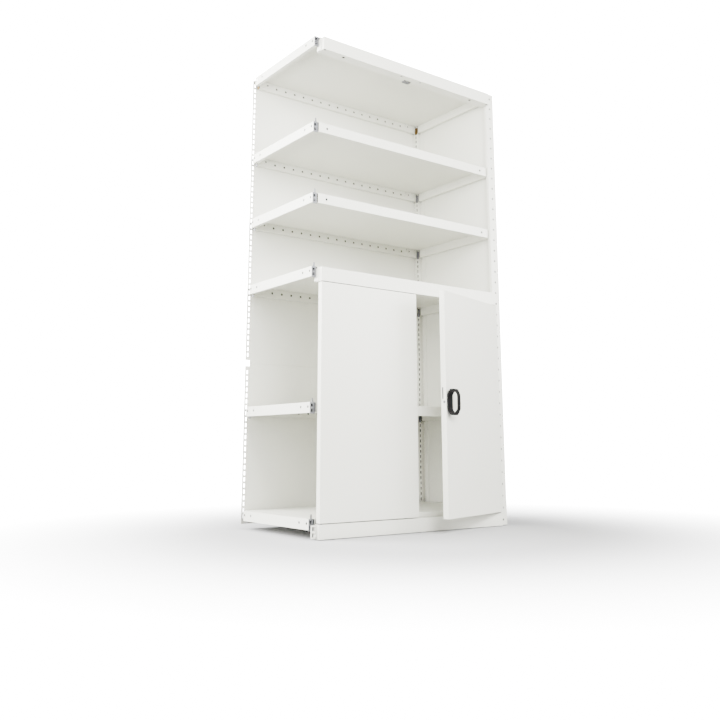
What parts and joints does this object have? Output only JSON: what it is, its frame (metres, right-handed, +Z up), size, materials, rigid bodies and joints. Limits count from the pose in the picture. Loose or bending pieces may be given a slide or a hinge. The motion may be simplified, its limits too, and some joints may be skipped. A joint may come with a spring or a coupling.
{
  "type": "bookcase with cabinet doors",
  "caption": "White sheet-steel add-on bookcase bay: open shelves above a cupboard with hinged doors, a black bow handle and sliding lock rods.",
  "frame": {"origin": "on the floor, in the middle of the bay, in the plane of the uprights' front faces", "axes": "+X along the bay towards its own upright frame, +Y to the back, +Z up"},
  "size_m": [1.0215, 0.7509, 2],
  "materials": {
    "white_paint": "satin powder coat",
    "zinc": "zinc plated",
    "yellow_zinc": "yellow passivated",
    "black_plastic": "matt",
    "grey_plastic": "matt"
  },
  "bodies": {
    "bay": {"back_panel_screws": "zinc", "cabinet_fascia": "white_paint", "cabinet_fascia_brackets": "white_paint", "fascia_catches": "zinc", "front_foot": "grey_plastic", "front_upright": "white_paint", "lower_back_panel": "white_paint", "lower_pivot_bushes": "grey_plastic", "plinth": "white_paint", "plinth_brackets": "white_paint", "plinth_pads": "grey_plastic", "rear_foot": "grey_plastic", "rear_upright": "white_paint", "shelf_1": "white_paint", "shelf_1_front_clips": "zinc", "shelf_1_rear_brackets": "zinc", "shelf_2": "white_paint", "shelf_2_front_clips": "zinc", "shelf_2_rear_brackets": "zinc", "shelf_3": "white_paint", "shelf_3_front_clips": "zinc", "shelf_3_rear_brackets": "zinc", "shelf_4": "white_paint", "shelf_4_front_clips": "zinc", "shelf_4_rear_brackets": "zinc", "shelf_5": "white_paint", "shelf_5_front_clips": "zinc", "shelf_5_rear_brackets": "zinc", "shelf_6": "white_paint", "shelf_6_front_clips": "zinc", "shelf_6_rear_brackets": "yellow_zinc", "side_panel": "white_paint", "top_fascia": "white_paint", "top_fascia_brackets": "white_paint", "upper_back_panel": "white_paint", "upper_pivot_bushes": "grey_plastic"},
    "left_door": {"left_door": "white_paint", "left_door_stiffener": "white_paint", "left_door_pins": "zinc", "closing_strip": "white_paint", "strip_rivets": "white_paint"},
    "right_door": {"right_door": "white_paint", "right_door_stiffener": "white_paint", "right_door_pins": "zinc", "lock_case": "zinc", "lock_screws": "zinc", "spindle_bush": "grey_plastic", "rod_guides": "zinc"},
    "handle": {"handle": "black_plastic", "spindle": "zinc", "lock_cam": "zinc"},
    "latch_bolt": {"latch_bolt": "zinc"},
    "upper_lock_rod": {"upper_lock_rod": "zinc"},
    "lower_lock_rod": {"lower_lock_rod": "zinc"}
  },
  "joints": [
    {"name": "left_door_swing", "type": "hinge", "parent": "bay", "child": "left_door", "pos_m": [-0.4645, -0.0125, 0.509], "axis": [0, 0, -1], "range_deg": [0, 110]},
    {"name": "right_door_swing", "type": "hinge", "parent": "bay", "child": "right_door", "pos_m": [0.4645, -0.0125, 0.509], "axis": [0, 0, 1], "range_deg": [-18, 92]},
    {"name": "handle_turn", "type": "hinge", "parent": "right_door", "child": "handle", "pos_m": [0.04556, -0.14862, 0.509], "axis": [0.309, -0.9511, 0], "range_deg": [0, 90]},
    {"name": "latch_slide", "type": "slide", "parent": "right_door", "child": "latch_bolt", "axis": [-0.9511, -0.309, 0], "range_m": [0, 0.008]},
    {"name": "upper_rod_slide", "type": "slide", "parent": "right_door", "child": "upper_lock_rod", "axis": [0, 0, 1], "range_m": [0, 0.014]},
    {"name": "lower_rod_slide", "type": "slide", "parent": "right_door", "child": "lower_lock_rod", "axis": [0, 0, -1], "range_m": [0, 0.014]}
  ],
  "couplings": [
    {"joint": "latch_slide", "follows": "handle_turn", "m_per_rad": 0.0050929},
    {"joint": "upper_rod_slide", "follows": "handle_turn", "m_per_rad": 0.0089126},
    {"joint": "lower_rod_slide", "follows": "handle_turn", "m_per_rad": 0.0089126}
  ]
}
